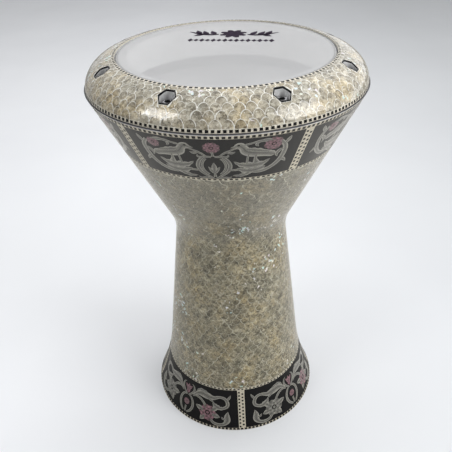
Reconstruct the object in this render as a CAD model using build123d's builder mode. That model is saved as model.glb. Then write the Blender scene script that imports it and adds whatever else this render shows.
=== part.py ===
"""A goblet drum (darbuka): an inlaid cast-aluminium body, a film head and a bolted tension ring.

The drum stands on its foot. Z is the drum's axis, pointing up through the head, and the origin is
the centre of the foot's bottom plane. Units are millimetres. Outlines are drawn as (radius, height)
and turned about Z.
"""
from build123d import *
import math
import os

os.makedirs("parts", exist_ok=True)

# ---------------------------------------------------------------- driving dimensions
# Outer form of the body
FOOT_R = 105.4  # outside of the foot on the floor
FOOT_FLARE = 3.4  # hollow of the foot's curved flare, below its chord
NECK_FOOT = (82.8, 84.0)  # where the flare meets the neck
WAIST = (62.5, 261.9)  # where the neck's line and the bowl's line would cross
WAIST_FILLET = 60.0
BOWL_SLOPE = 0.482  # growth of the radius per unit of height
BODY_TOP = 424.2  # flat face of the body's flange, under the tension ring
WALL = 5.2  # cast wall of the neck and the bowl
INLAY = 1.2  # thickness of all inlay and lacquer on the castings

# Bands of inlay, as heights on the body
FOOT_STRIP = (0.5, 3.0)
FOOT_BAND_TOP = 54.7
FOOT_UPPER_STRIP_TOP = 57.2
BOWL_LOWER_STRIP = (367.6, 370.3)
BOWL_BAND_TOP = 419.4
TOP_STRIP_TOP = 423.0
BOWL_PANELS = 5
FOOT_PANELS = 4
DIVIDER_WIDTH = 8.8
BOWL_DIVIDER_ANGLE = -59.0  # of one divider, counted from +X towards +Y
FOOT_DIVIDER_ANGLE = -85.0

# Body flange and bearing edge
COLLAR_IN_R = 97.0  # at the top; the collar's inside widens downwards
COLLAR_FOOT_R = 104.0
COLLAR_OUT_R = 107.0
COLLAR_BOTTOM = 414.0  # lower edge of the collar, inside the bowl
FLANGE_UNDERSIDE_END = (119.5, 397.5)  # where the flange's sloping underside runs into the wall
HEAD_PLANE = 450.4  # crown of the bearing edge, and underside of the film
CROWN_ROUND = 1.6
CROWN_FLAT = 1.0  # level part of the crown, inside its rounded edge
CROWN_FALL = 1.0  # drop from there to the collar's inner edge

# Tension ring; its outline is a side arc from the skirt to the shoulder, then an arc to the lip
RING_SKIRT = (139.8, 424.2)
RING_SIDE = (138.0, 432.2)
RING_SHOULDER = (130.0, 442.8)
RING_LIP = (106.6, 451.8)
RING_BOTTOM = 425.0
OPENING_R = 108.0
RING_STRIP_TOP = 428.4
INNER_STRIP_R = 110.9
NOSE_BOTTOM = 442.2  # the face that presses on the hoop
RING_BORE_R = 114.2
BACK_GROOVE_R = (128.3, 133.0)  # weight-saving groove in the ring's underside
BACK_GROOVE_TOP = 434.0

# Head
FILM = 0.3
HOOP_IN_R = 108.4
HOOP_OUT_R = 113.6
HOOP_BOTTOM = 435.6
HOOP_INNER_TOP = 440.4
HOOP_WALL = 1.2
FILM_BEND = 0.7
FILM_END_R = 110.8
FILM_END = 437.6

# Tension bolts: M6 socket-head cap screws, 30 mm long
BOLTS = 8
BOLT_CIRCLE_R = 122.5
FIRST_BOLT_ANGLE = 22.5
SHANK_R = 2.95
THREAD_R = 3.0
BOLT_LENGTH = 30.0
BOLT_HEAD_R = 5.0
BOLT_HEAD_H = 6.0
SOCKET_FLATS = 5.0
SOCKET_DEPTH = 3.2
BOLT_EDGE = 0.5  # rounding of the head and chamfer of the tip
WASHER_R = 5.5
WASHER_T = 1.2
COUNTERBORE_R = 6.2
COUNTERBORE_FLOOR = 435.6
FRAME_FLATS_OUT = 15.0  # hexagonal inlay round each counterbore
FRAME_FLATS_IN = 12.8
CLEARANCE_R = 3.3  # of the bolt holes through the ring and the washers

REACH = 160.0  # larger than any radius of the drum
UNDER_HEAD = COUNTERBORE_FLOOR + WASHER_T
BOLT_TIP = UNDER_HEAD - BOLT_LENGTH
THREAD_BOTTOM = BOLT_TIP - 0.8


# ---------------------------------------------------------------- outlines and shared forms
def bowl_radius(height):
    """Outside radius of the bowl's straight cone."""
    return WAIST[0] + BOWL_SLOPE * (height - WAIST[1])


with BuildLine() as body_line:
    SagittaArc((FOOT_R, 0), NECK_FOOT, FOOT_FLARE)
    FilletPolyline(NECK_FOOT, WAIST, (bowl_radius(BODY_TOP), BODY_TOP), radius=WAIST_FILLET)

with BuildLine() as ring_line:
    ring_side = ThreePointArc(RING_SKIRT, RING_SIDE, RING_SHOULDER)
    TangentArc(ring_side @ 1, RING_LIP, tangent=ring_side % 1)


def turned_form(line, depth=0.0):
    """Solid of revolution that fills the outline to the axis, from a depth below its surface."""
    outline = line.wire()
    if depth:
        outline = outline.offset_2d(depth, side=Side.LEFT, closed=False)
    low, high = sorted((outline @ 0, outline @ 1), key=lambda point: point.Y)
    with BuildPart() as form:
        with BuildSketch(Plane.XZ):
            with BuildLine():
                add(outline)
                Polyline(high, (0, high.Y), (0, low.Y), low)
            make_face()
        revolve(axis=Axis.Z)
    return form.part


def slab(bottom, top):
    """Keeps what lies between two heights."""
    with Locations((0, 0, bottom)):
        Cylinder(
            REACH,
            top - bottom,
            align=(Align.CENTER, Align.CENTER, Align.MIN),
            mode=Mode.INTERSECT,
        )


def core(radius, mode=Mode.SUBTRACT):
    """Cuts, or keeps, what lies inside a radius."""
    Cylinder(radius, 2 * (BODY_TOP + REACH), mode=mode)


def divider_slices(count, first_angle, mode):
    """Radial slices of constant width, one for each divider between the panels of a band."""
    with PolarLocations(0, count, start_angle=first_angle):
        Box(
            REACH,
            DIVIDER_WIDTH,
            2 * (BODY_TOP + REACH),
            align=(Align.MIN, Align.CENTER, Align.CENTER),
            mode=mode,
        )


def turned_ring(*corners, mode=Mode.ADD):
    """The ring whose section is the polygon through the corners."""
    with BuildSketch(Plane.XZ) as section:
        with BuildLine():
            Polyline(*corners, close=True)
        make_face()
    revolve(section.sketch, axis=Axis.Z, mode=mode)


def hexagons(across_flats, mode=Mode.ADD):
    """A hexagon round each bolt, with a flat side towards the drum's axis."""
    with PolarLocations(BOLT_CIRCLE_R, BOLTS, start_angle=FIRST_BOLT_ANGLE):
        RegularPolygon(across_flats / 2, 6, major_radius=False, rotation=30, mode=mode)


def save(piece, label):
    """Labels a finished piece and writes its STEP file."""
    piece.part.label = label
    export_step(piece.part, f"parts/{label}.step")


body_outside = turned_form(body_line)
body_casting = turned_form(body_line, INLAY)
body_hollow = turned_form(body_line, INLAY + WALL)
ring_outside = turned_form(ring_line)
ring_casting = turned_form(ring_line, INLAY)
RING_TOP = ring_outside.bounding_box().max.Z


def body_inlay(bottom, top):
    """The layer of inlay on the body between two heights."""
    add(body_outside)
    add(body_casting, mode=Mode.SUBTRACT)
    slab(bottom, top)


# Whole layers of inlay, which the bands are cut from
with BuildPart() as bowl_band:
    body_inlay(BOWL_LOWER_STRIP[1], BOWL_BAND_TOP)

with BuildPart() as foot_band:
    body_inlay(FOOT_STRIP[1], FOOT_BAND_TOP)

with BuildPart() as ring_layer:
    add(ring_outside)
    add(ring_casting, mode=Mode.SUBTRACT)
    slab(RING_BOTTOM, RING_TOP)
    core(OPENING_R)

# The flange's bare metal lip, which stands out flush with the inlay
with BuildPart() as bare_lip:
    add(body_outside)
    slab(TOP_STRIP_TOP, BODY_TOP)
    core(bowl_radius(BODY_TOP) - 2 * WALL)


# ---------------------------------------------------------------- the body and its inlay
# The casting: neck and bowl of even wall, a thick inner flange for the bolts, and a collar that
# carries the rounded bearing edge.
with BuildPart() as shell:
    add(body_casting)
    slab(0, BODY_TOP)
    add(body_hollow, mode=Mode.SUBTRACT)
    add(bare_lip.part)
    turned_ring(
        (COLLAR_FOOT_R, COLLAR_BOTTOM),
        FLANGE_UNDERSIDE_END,
        (FLANGE_UNDERSIDE_END[0] + WALL, FLANGE_UNDERSIDE_END[1]),
        (bowl_radius(BODY_TOP) - WALL, BODY_TOP),
        (COLLAR_FOOT_R, BODY_TOP),
    )
    turned_ring(
        (COLLAR_FOOT_R, COLLAR_BOTTOM),
        (COLLAR_OUT_R, COLLAR_BOTTOM),
        (COLLAR_OUT_R, HEAD_PLANE),
        (COLLAR_OUT_R - CROWN_ROUND - CROWN_FLAT, HEAD_PLANE),
        (COLLAR_IN_R, HEAD_PLANE - CROWN_FALL),
    )
    crown = shell.edges().filter_by(GeomType.CIRCLE).group_by(Axis.Z)[-1]
    fillet(crown.sort_by(SortBy.RADIUS)[-1], CROWN_ROUND)
    with PolarLocations(BOLT_CIRCLE_R, BOLTS, start_angle=FIRST_BOLT_ANGLE):
        with Locations((0, 0, BODY_TOP)):
            Hole(THREAD_R, depth=BODY_TOP - THREAD_BOTTOM)
save(shell, "shell")

with BuildPart() as shell_top_checker:
    body_inlay(BOWL_BAND_TOP, TOP_STRIP_TOP)
save(shell_top_checker, "shell_top_checker")

with BuildPart() as bowl_black_panels:
    add(bowl_band.part)
    divider_slices(BOWL_PANELS, BOWL_DIVIDER_ANGLE, Mode.SUBTRACT)
save(bowl_black_panels, "bowl_black_panels")

with BuildPart() as bowl_panel_dividers:
    divider_slices(BOWL_PANELS, BOWL_DIVIDER_ANGLE, Mode.ADD)
    add(bowl_band.part, mode=Mode.INTERSECT)
save(bowl_panel_dividers, "bowl_panel_dividers")

with BuildPart() as bowl_lower_checker:
    body_inlay(*BOWL_LOWER_STRIP)
save(bowl_lower_checker, "bowl_lower_checker")

with BuildPart() as body_pearl_mosaic:
    body_inlay(FOOT_UPPER_STRIP_TOP, BOWL_LOWER_STRIP[0])
save(body_pearl_mosaic, "body_pearl_mosaic")

with BuildPart() as foot_upper_checker:
    body_inlay(FOOT_BAND_TOP, FOOT_UPPER_STRIP_TOP)
save(foot_upper_checker, "foot_upper_checker")

with BuildPart() as foot_black_panels:
    add(foot_band.part)
    divider_slices(FOOT_PANELS, FOOT_DIVIDER_ANGLE, Mode.SUBTRACT)
save(foot_black_panels, "foot_black_panels")

with BuildPart() as foot_panel_dividers:
    divider_slices(FOOT_PANELS, FOOT_DIVIDER_ANGLE, Mode.ADD)
    add(foot_band.part, mode=Mode.INTERSECT)
save(foot_panel_dividers, "foot_panel_dividers")

with BuildPart() as foot_lower_checker:
    body_inlay(*FOOT_STRIP)
save(foot_lower_checker, "foot_lower_checker")


# ---------------------------------------------------------------- the tension ring and its inlay
# A cast ring with a hollow back. Its inner nose presses on the head's hoop, and a counterbored
# hole for each bolt runs down through it.
with BuildPart() as tension_ring:
    add(ring_casting)
    slab(RING_BOTTOM, RING_TOP)
    core(OPENING_R)
    turned_ring(
        (0, 0),
        (RING_BORE_R, 0),
        (RING_BORE_R, NOSE_BOTTOM),
        (0, NOSE_BOTTOM),
        mode=Mode.SUBTRACT,
    )
    turned_ring(
        (BACK_GROOVE_R[0], 0),
        (BACK_GROOVE_R[1], 0),
        (BACK_GROOVE_R[1], BACK_GROOVE_TOP - WALL / 2),
        (BACK_GROOVE_R[0], BACK_GROOVE_TOP),
        mode=Mode.SUBTRACT,
    )
    with PolarLocations(BOLT_CIRCLE_R, BOLTS, start_angle=FIRST_BOLT_ANGLE):
        with Locations((0, 0, RING_TOP)):
            CounterBoreHole(
                CLEARANCE_R,
                COUNTERBORE_R,
                RING_TOP - COUNTERBORE_FLOOR,
                depth=RING_TOP,
            )
save(tension_ring, "tension_ring")

with BuildPart() as rim_lower_checker:
    add(ring_layer.part)
    slab(RING_BOTTOM, RING_STRIP_TOP)
save(rim_lower_checker, "rim_lower_checker")

with BuildPart() as rim_inner_checker:
    add(ring_layer.part)
    slab(RING_STRIP_TOP, RING_TOP)
    core(INNER_STRIP_R, mode=Mode.INTERSECT)
save(rim_inner_checker, "rim_inner_checker")

with BuildPart() as bolt_hex_frames:
    with BuildSketch(Plane.XY.offset(COUNTERBORE_FLOOR)):
        hexagons(FRAME_FLATS_OUT)
        hexagons(FRAME_FLATS_IN, mode=Mode.SUBTRACT)
    extrude(amount=RING_TOP - COUNTERBORE_FLOOR)
    add(ring_layer.part, mode=Mode.INTERSECT)
save(bolt_hex_frames, "bolt_hex_frames")

with BuildPart() as rim_pearl_mosaic:
    add(ring_layer.part)
    slab(RING_STRIP_TOP, RING_TOP)
    core(INNER_STRIP_R)
    with BuildSketch(Plane.XY.offset(COUNTERBORE_FLOOR)):
        hexagons(FRAME_FLATS_OUT)
    extrude(amount=RING_TOP - COUNTERBORE_FLOOR, mode=Mode.SUBTRACT)
save(rim_pearl_mosaic, "rim_pearl_mosaic")


# ---------------------------------------------------------------- the tension bolts
with BuildPart() as bolt_washers:
    with BuildSketch(Plane.XY.offset(COUNTERBORE_FLOOR)):
        with PolarLocations(BOLT_CIRCLE_R, BOLTS, start_angle=FIRST_BOLT_ANGLE):
            Circle(WASHER_R)
            Circle(CLEARANCE_R, mode=Mode.SUBTRACT)
    extrude(amount=WASHER_T)
save(bolt_washers, "bolt_washers")

for number in range(1, BOLTS + 1):
    angle = math.radians(FIRST_BOLT_ANGLE + (number - 1) * 360 / BOLTS)
    seat = Plane(
        origin=(BOLT_CIRCLE_R * math.cos(angle), BOLT_CIRCLE_R * math.sin(angle), UNDER_HEAD)
    )
    with BuildPart() as tension_bolt:
        with BuildSketch(seat):
            Circle(BOLT_HEAD_R)
        extrude(amount=BOLT_HEAD_H)
        fillet(tension_bolt.edges().group_by(Axis.Z)[-1], BOLT_EDGE)
        with BuildSketch(seat):
            Circle(SHANK_R)
        extrude(amount=-BOLT_LENGTH)
        chamfer(tension_bolt.edges().group_by(Axis.Z)[0], BOLT_EDGE)
        with BuildSketch(seat.offset(BOLT_HEAD_H)):
            RegularPolygon(SOCKET_FLATS / 2, 6, major_radius=False)
        extrude(amount=-SOCKET_DEPTH, mode=Mode.SUBTRACT)
    save(tension_bolt, f"tension_bolt_{number}")


# ---------------------------------------------------------------- the head
# The film lies flat on the bearing edge, turns down outside the collar, then crosses the hoop's
# inner wall and ends in the resin that fills the hoop's channel.
with BuildLine() as film_underside:
    Line((0, HEAD_PLANE), (COLLAR_OUT_R - CROWN_ROUND, HEAD_PLANE))
    CenterArc((COLLAR_OUT_R - CROWN_ROUND, HEAD_PLANE - CROWN_ROUND), CROWN_ROUND, 90, -90)
    Line((COLLAR_OUT_R, HEAD_PLANE - CROWN_ROUND), (COLLAR_OUT_R, HOOP_INNER_TOP + FILM_BEND))
    CenterArc((COLLAR_OUT_R + FILM_BEND, HOOP_INNER_TOP + FILM_BEND), FILM_BEND, 180, 90)
    Line((COLLAR_OUT_R + FILM_BEND, HOOP_INNER_TOP), (FILM_END_R - FILM_BEND, HOOP_INNER_TOP))
    CenterArc((FILM_END_R - FILM_BEND, HOOP_INNER_TOP - FILM_BEND), FILM_BEND, 90, -90)
    Line((FILM_END_R, HOOP_INNER_TOP - FILM_BEND), (FILM_END_R, FILM_END))

with BuildPart() as drumhead_film:
    with BuildSketch(Plane.XZ):
        with BuildLine():
            add(film_underside.wire().offset_2d(FILM, side=Side.LEFT, closed=True))
        make_face()
    revolve(axis=Axis.Z)
save(drumhead_film, "drumhead_film")

with BuildPart() as head_hoop:
    turned_ring(
        (HOOP_IN_R, HOOP_BOTTOM),
        (HOOP_OUT_R, HOOP_BOTTOM),
        (HOOP_OUT_R, NOSE_BOTTOM),
        (HOOP_OUT_R - HOOP_WALL, NOSE_BOTTOM),
        (HOOP_OUT_R - HOOP_WALL, HOOP_BOTTOM + HOOP_WALL),
        (HOOP_IN_R + HOOP_WALL, HOOP_BOTTOM + HOOP_WALL),
        (HOOP_IN_R + HOOP_WALL, HOOP_INNER_TOP),
        (HOOP_IN_R, HOOP_INNER_TOP),
    )
save(head_hoop, "head_hoop")

with BuildPart() as head_resin:
    turned_ring(
        (HOOP_IN_R + HOOP_WALL, HOOP_BOTTOM + HOOP_WALL),
        (HOOP_OUT_R - HOOP_WALL, HOOP_BOTTOM + HOOP_WALL),
        (HOOP_OUT_R - HOOP_WALL, HOOP_INNER_TOP),
        (HOOP_IN_R + HOOP_WALL, HOOP_INNER_TOP),
    )
    add(drumhead_film.part, mode=Mode.SUBTRACT)
save(head_resin, "head_resin")
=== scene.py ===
"""Looks of the inlaid goblet drum: shell mosaic, checker strips, ornament panels, metal and film.

Everything is in metres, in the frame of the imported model. Inlay is drawn flat, as (angle round the
axis, length along the outline, lift off the surface), and then wrapped onto the turned surfaces,
whose outlines are measured from the CAD nodes.
"""
import math

import bpy
import numpy as np
from mathutils import Matrix, Vector
from mathutils.bvhtree import BVHTree


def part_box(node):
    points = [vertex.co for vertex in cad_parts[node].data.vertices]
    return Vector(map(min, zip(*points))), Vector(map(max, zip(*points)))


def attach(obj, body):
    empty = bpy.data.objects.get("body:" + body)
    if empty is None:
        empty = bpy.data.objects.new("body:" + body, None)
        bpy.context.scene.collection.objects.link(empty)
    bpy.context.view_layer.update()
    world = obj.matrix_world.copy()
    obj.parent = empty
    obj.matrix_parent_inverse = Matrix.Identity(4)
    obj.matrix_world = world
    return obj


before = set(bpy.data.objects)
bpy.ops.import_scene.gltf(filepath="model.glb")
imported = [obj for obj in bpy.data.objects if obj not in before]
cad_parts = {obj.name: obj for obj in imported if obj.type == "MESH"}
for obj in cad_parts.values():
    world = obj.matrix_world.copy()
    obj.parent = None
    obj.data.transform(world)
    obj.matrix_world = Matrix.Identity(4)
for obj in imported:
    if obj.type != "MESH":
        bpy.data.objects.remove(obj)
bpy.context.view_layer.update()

MM = 0.001
TAU = 2 * math.pi
rng = np.random.default_rng(7)

# ---------------------------------------------------------------- driving values
# Shell scales
SCALES_ON_RING = 85  # in one row round the tension ring
SCALES_ON_BODY = 50
ROW_SPACING = 0.74  # over the width of a scale
RING_LINE = 0.24 * MM  # half the width of the pale line between two scales
BODY_LINE = 0.20 * MM
LINE_END = 0.3  # share of a line's width that is left at the scales' corners
ARCH_SPREAD = 82  # degrees of its arch that a scale keeps to each side of its crest
SCALE_PLAY = 0.03  # how far the scales stray from their places
SEAM = 0.1 * MM  # between the end rows and the strips beside them
SLIVER = 0.05  # an end row that is cut to less than this share of its scales is left out
BODY_PARTS = ("low", "middle", "high")  # the body's scales are kept as three pieces
ROWS_IN_PART = 15

# Thin plates that lie on the inlay
TILE_LIFT = 0.06 * MM
TILE_DEPTH = 0.30 * MM
SUNK = -0.2  # underside of an ornament, mm off the surface
RIM = 0.05  # top of a ribbon's edge, mm off the surface
THINNEST = 0.12  # mm, half the width that a ribbon keeps at its tips

# Hexagons round the bolts
BOLTS = 8
HEX_REACH = 8.9 * MM  # from a bolt's axis to the corners of the hole for its hexagon
HOLE_REACH = 8.0 / 120  # rad round the drum beyond which a hole cuts no scale

# Checker strips and dividers
CHECKERS_ON_RING = 180
SQUARE_PLAY = 0.03  # how far a square's corners stray, over its size
BOWL_PANELS = 5
FOOT_PANELS = 4
FOOT_FLOWER = (31.5, 16.6)  # mm from a foot panel's middle and foot
DIVIDER_SQUARE = 2.3 * MM
DIVIDER_STEP = 4.9 * MM
DIVIDER_END = 1.6 * MM  # kept clear at a divider's top
FIRST_SQUARES = {-1: 1.8 * MM, 1: 4.25 * MM}  # where the left and right columns start
COLUMN_OFFSET = 2.112 * MM  # of each column from the divider's middle
SQUARE_SHARES = {  # black share of the spacing, and cream margin over the strip's height
    "rim_lower_checker": (0.60, 0.12),
    "rim_inner_checker": (0.60, 0.12),
    "shell_top_checker": (0.60, 0.13),
    "bowl_lower_checker": (0.56, 0.19),
    "foot_upper_checker": (0.56, 0.19),
    "foot_lower_checker": (0.66, 0.06),
}

# Print on the head
PRINT_TURN = math.radians(-6.6)
PRINT_PLACE = (6.5, 46.0)  # mm from the drum's axis
PRINT_SIZE = 1.22
PRINT_HEIGHT = 0.05 * MM

# The bare casting
COLLAR_FOOT = 0.4138  # height above which the body's casting is turned bright
CROWN_DEPTH = 1.6 * MM  # of the crown that the film rests on, painted dark as shade
LIP_WIDTH = 1.2 * MM  # of the flange's bare lip, seen under the tension ring
LIP_HEIGHT = 1.2 * MM

# ---------------------------------------------------------------- outlines from the CAD nodes
SEARCH_ANGLES = np.radians(np.arange(3.0, 360.0, 15.0))  # the rays are cast at these
BODY_RAYS = 240
RING_RAYS = 160
OUTSIDE = 0.2  # radius from which the rays towards the axis start
RING_HEART_RADIUS = 0.120  # the ring's rays aim at a point inside its section
RING_HEART_LIFT = 5 * MM
RING_FAN = (-14, 119)  # degrees round that point
RING_FAN_REACH = 0.06


def node_tree(names):
    """A ray-casting tree of some CAD nodes."""
    points, faces = [], []
    for name in names:
        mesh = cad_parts[name].data
        start = len(points)
        points += [v.co.copy() for v in mesh.vertices]
        faces += [[start + i for i in p.vertices] for p in mesh.polygons]
    return BVHTree.FromPolygons(points, faces)


class Outline:
    """The outer outline of turned CAD nodes, as radius and height against length from its foot."""

    def __init__(self, names, starts, aims):
        """Casts rays in the half plane from starts to aims, both (radius, height)."""
        tree = node_tree(names)
        radii, heights = [], []
        for (r0, z0), (r1, z1) in zip(starts, aims):
            reach = math.hypot(r1 - r0, z1 - z0)
            nearest = reach
            for angle in SEARCH_ANGLES:
                c, s = math.cos(angle), math.sin(angle)
                origin = Vector((r0 * c, r0 * s, z0))
                way = Vector(((r1 - r0) * c, (r1 - r0) * s, z1 - z0)).normalized()
                hit = tree.ray_cast(origin, way, reach)
                if hit[0] is not None:
                    nearest = min(nearest, hit[3])
            if nearest < reach:
                radii.append(r0 + (r1 - r0) * nearest / reach)
                heights.append(z0 + (z1 - z0) * nearest / reach)
        self.r, self.z = np.array(radii), np.array(heights)
        self.s = np.r_[0, np.cumsum(np.hypot(np.diff(self.r), np.diff(self.z)))]
        slope_r, slope_z = np.gradient(self.r, self.s), np.gradient(self.z, self.s)
        size = np.hypot(slope_r, slope_z)
        self.normal_r, self.normal_z = slope_z / size, -slope_r / size

    def at_height(self, height):
        """Length along the outline at a height (where the height only grows)."""
        return float(np.interp(height, self.z, self.s))

    def at_radius(self, radius):
        """Length along the outline at a radius, counted on its shrinking upper part."""
        top = int(np.argmax(self.r))
        return float(np.interp(-radius, -self.r[top:], self.s[top:]))

    def radius(self, length):
        return float(np.interp(length, self.s, self.r))

    def wrap(self, flat):
        """Places flat points (angle, length, lift) on the surface."""
        angle, length, lift = flat[:, 0], flat[:, 1], flat[:, 2]
        radius = np.interp(length, self.s, self.r) + lift * np.interp(length, self.s, self.normal_r)
        height = np.interp(length, self.s, self.z) + lift * np.interp(length, self.s, self.normal_z)
        return np.c_[radius * np.cos(angle), radius * np.sin(angle), height]


def node_heights(name):
    low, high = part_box(name)
    return low.z, high.z


body_nodes = [
    "foot_lower_checker",
    "foot_black_panels",
    "foot_panel_dividers",
    "foot_upper_checker",
    "body_pearl_mosaic",
    "bowl_lower_checker",
    "bowl_black_panels",
    "bowl_panel_dividers",
    "shell_top_checker",
]
body_low = node_heights("foot_lower_checker")[0]
body_high = node_heights("shell_top_checker")[1]
body_levels = np.linspace(body_low + 0.05 * MM, body_high - 0.05 * MM, BODY_RAYS)
body = Outline(body_nodes, [(OUTSIDE, z) for z in body_levels], [(0, z) for z in body_levels])

ring_heart = (RING_HEART_RADIUS, node_heights("rim_lower_checker")[0] + RING_HEART_LIFT)
ring_starts = [
    (ring_heart[0] + RING_FAN_REACH * math.cos(t), ring_heart[1] + RING_FAN_REACH * math.sin(t))
    for t in np.radians(np.linspace(*RING_FAN, RING_RAYS))
]
ring = Outline(
    ["rim_lower_checker", "rim_pearl_mosaic", "rim_inner_checker"],
    ring_starts,
    [ring_heart] * RING_RAYS,
)


# ---------------------------------------------------------------- flat drawing
class Drawing:
    """Closed thin solids drawn flat, gathered into one mesh."""

    def __init__(self):
        self.points, self.faces, self.count = [], [], 0
        self.values = {"tint": [], "along": [], "across": []}

    def add(self, points, faces, tint=0.5, along=None, across=None):
        points = np.asarray(points, float)
        self.points.append(points)
        self.faces += [[i + self.count for i in face] for face in faces]
        self.count += len(points)
        empty = np.zeros(len(points))
        self.values["tint"].append(np.full(len(points), tint))
        self.values["along"].append(empty if along is None else along)
        self.values["across"].append(empty if across is None else across)

    def build(self, name, outline, body_name, material, slot_name):
        """Wraps the drawing onto an outline as one piece that rides on a body."""
        mesh = bpy.data.meshes.new(name)
        mesh.from_pydata(outline.wrap(np.concatenate(self.points)).tolist(), [], self.faces)
        for key, parts in self.values.items():
            layer = mesh.attributes.new(key, "FLOAT", "POINT")
            layer.data.foreach_set("value", np.concatenate(parts).astype(np.float32))
        mesh.validate()
        mesh.shade_smooth()
        mesh.set_sharp_from_angle(angle=math.radians(35))
        mesh.materials.append(material)
        piece = bpy.data.objects.new(name, mesh)
        bpy.context.scene.collection.objects.link(piece)
        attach(piece, body_name)


def plate(outline_points, lift=TILE_LIFT, depth=TILE_DEPTH):
    """A thin plate: on top its rim, a ring half way in and its middle, and a flat underside."""
    edge = np.asarray(outline_points, float)
    n = len(edge)
    middle = edge.mean(0)
    inner = middle + (edge - middle) * 0.5
    top = np.c_[np.vstack([edge, inner, middle]), np.full(2 * n + 1, lift)]
    bottom = np.c_[edge, np.full(n, -depth)]
    under = 2 * n + 1
    faces = []
    for i in range(n):
        j = (i + 1) % n
        faces.append([i, j, n + j, n + i])
        faces.append([n + i, n + j, 2 * n])
        faces.append([under + i, under + j, j, i])
    faces.append([under + i for i in reversed(range(n))])
    return np.vstack([top, bottom]), faces


def scale_shape(half_width, row, line):
    """Outline of one fish scale in metres: an arch above, and two neighbours' arches cut below.

    It leaves room for half of the pale line round it, which thins out towards the corners.
    """
    arch = np.radians(np.linspace(-ARCH_SPREAD, ARCH_SPREAD, 9))
    x, y = half_width * np.sin(arch), row * np.cos(arch)
    nx, ny = np.sin(arch) / half_width, np.cos(arch) / row
    share = line * (LINE_END + (1 - LINE_END) * np.cos(arch)) / np.hypot(nx, ny)
    upper = np.c_[x - share * nx, y - share * ny]
    tip = math.asin(max(0.0, 1 - 1.4 * LINE_END * line / half_width))
    cut = np.linspace(math.radians(5), tip, 6)
    x, y = -half_width + half_width * np.sin(cut), -row + row * np.cos(cut)
    nx, ny = np.sin(cut) / half_width, np.cos(cut) / row
    share = line * (LINE_END + (1 - LINE_END) * np.cos(cut)) / np.hypot(nx, ny)
    left = np.c_[x + share * nx, y + share * ny]
    left = left[left[:, 0] < -0.02 * half_width]
    right = left * (-1, 1)
    return np.vstack([upper, right, [(0, left[-1][1] - line)], left[::-1]])


def clip(shape, point, normal):
    """The part of a polygon on the side of a line that its normal points to."""
    kept = []
    for a, b in zip(shape, np.roll(shape, -1, 0)):
        da, db = np.dot(a - point, normal), np.dot(b - point, normal)
        if da >= 0:
            kept.append(a)
        if da * db < 0:
            kept.append(a + (b - a) * da / (da - db))
    return np.array(kept)


def shape_area(shape):
    x, y = shape[:, 0], shape[:, 1]
    return 0.5 * float(np.sum(x * np.roll(y, -1) - y * np.roll(x, -1)))


def without(shape, hole):
    """Cuts a polygon by a convex one that runs counter-clockwise: pieces outside, part inside."""
    pieces, rest = [], shape
    for a, b in zip(hole, np.roll(hole, -1, 0)):
        outward = np.array([b[1] - a[1], a[0] - b[0]])
        if len(rest) < 3:
            break
        outside = clip(rest, a, outward)
        if len(outside) > 2 and abs(shape_area(outside)) > 1e-3 * abs(shape_area(shape)):
            pieces.append(outside)
        rest = clip(rest, a, -outward)
    return pieces, rest


def scale_rows(drawings, rows_each, outline, start, end, count, line, holes=(), flip=1):
    """Rows of fish scales between two lengths along an outline, cut off at both ends.

    Each drawing takes rows_each rows and the last one the rest. The arches point up the outline
    with flip 1 and down with flip -1. The value across grows over each scale to its arch.
    """
    length, number = start, 0
    while length < end + ROW_SPACING * TAU * outline.radius(min(length, end)) / count:
        radius = outline.radius(min(length, end))
        half = 0.5 * TAU * radius / count
        row = 2 * half * ROW_SPACING
        shape = scale_shape(half, row, line)
        shape[:, 1] *= flip
        shape[:, 1] += length
        if flip < 0:
            shape = shape[::-1]
        shape = clip(shape, np.array((0.0, start)), np.array((0.0, 1.0)))
        if len(shape) > 2:
            shape = clip(shape, np.array((0.0, end)), np.array((0.0, -1.0)))
        if len(shape) > 2 and abs(shape_area(shape)) > SLIVER * half * row:
            reach = sorted(flip * shape[[np.argmin(shape[:, 1]), np.argmax(shape[:, 1])], 1])
            shape = shape / (radius, 1.0)
            if shape_area(shape) < 0:
                shape = shape[::-1]
            for i in range(count):
                sway = rng.normal(0, SCALE_PLAY, 3)
                twist = np.array([(1, sway[0] * radius), (-sway[0] / radius, 1)])
                play = (shape - shape.mean(0)) @ twist + shape.mean(0)
                play = play + (sway[1] * row / radius, sway[2] * row * 0.5)
                moved = play + ((i + 0.5 * (number % 2)) * TAU / count, 0.0)
                parts = [moved]
                for hole in holes:
                    if np.abs(moved[:, 0] - hole[:, 0].mean()).min() > HOLE_REACH:
                        continue
                    cut = []
                    for part in parts:
                        outside, inside = without(part, hole)
                        cut += outside if len(inside) > 2 else [part]
                    parts = cut
                tint = rng.random()
                for part in parts:
                    points, faces = plate(part)
                    rise = np.interp(flip * points[:, 1], reach, (0.0, 1.0))
                    piece = drawings[min(number // rows_each, len(drawings) - 1)]
                    piece.add(points, faces, tint, across=rise)
        length += row
        number += 1


# ---------------------------------------------------------------- materials
GLINTS = 1.56  # the higher, the fewer chips get painted glints
SCALE_SHARE = 0.16  # of a chip's tone that comes from its scale
WARP = 3.0 * MM  # how far the chips' outlines are bent
VEINS = 650.0  # engraved lines for each mm, so close that they read as a soft shade
FILM_ALPHA = 0.27

# Painted reflection: between these heights the body's shell takes on the grey haze of the room mirrored
# in its lacquer
REFLECTION_FOOT = 0.25
REFLECTION_TOP = 0.32
REFLECTION_TONE = (0.215, 0.210, 0.185)

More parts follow.
